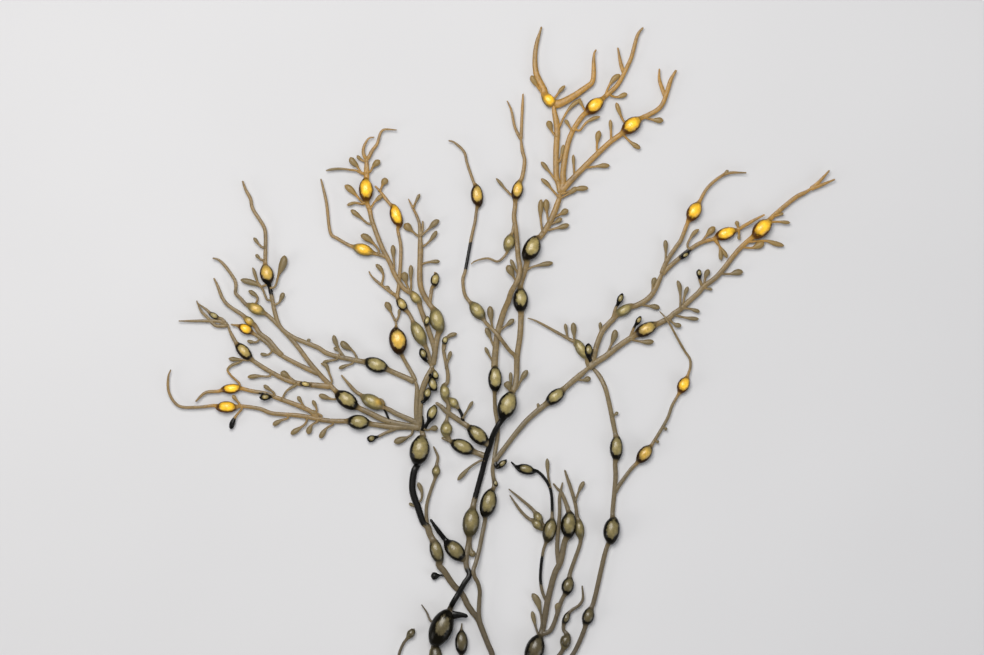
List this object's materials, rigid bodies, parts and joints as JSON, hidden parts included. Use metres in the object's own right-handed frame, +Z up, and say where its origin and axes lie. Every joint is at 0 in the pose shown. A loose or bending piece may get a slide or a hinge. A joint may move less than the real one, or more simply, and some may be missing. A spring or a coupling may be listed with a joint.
{
  "type": "seaweed",
  "caption": "Knotted wrack lying flat: forked straps that swell into egg-shaped air bladders, with small club-shaped receptacles and a disc holdfast.",
  "frame": {"origin": "under the middle of the whole plant's box, on the surface it lies on", "axes": "+Z up out of the surface, +Y from the holdfast towards the frond tips, +X to the right as seen from above"},
  "size_m": [0.5008, 0.5792, 0.0156],
  "materials": {
    "frond": "wet satin",
    "holdfast": "wet satin"
  },
  "bodies": {
    "root": {"frond_left": "frond", "frond_middle": "frond", "frond_right": "frond", "frond_low": "frond", "frond_lower_right": "frond", "frond_far_right": "frond", "holdfast": "holdfast"}
  },
  "joints": []
}
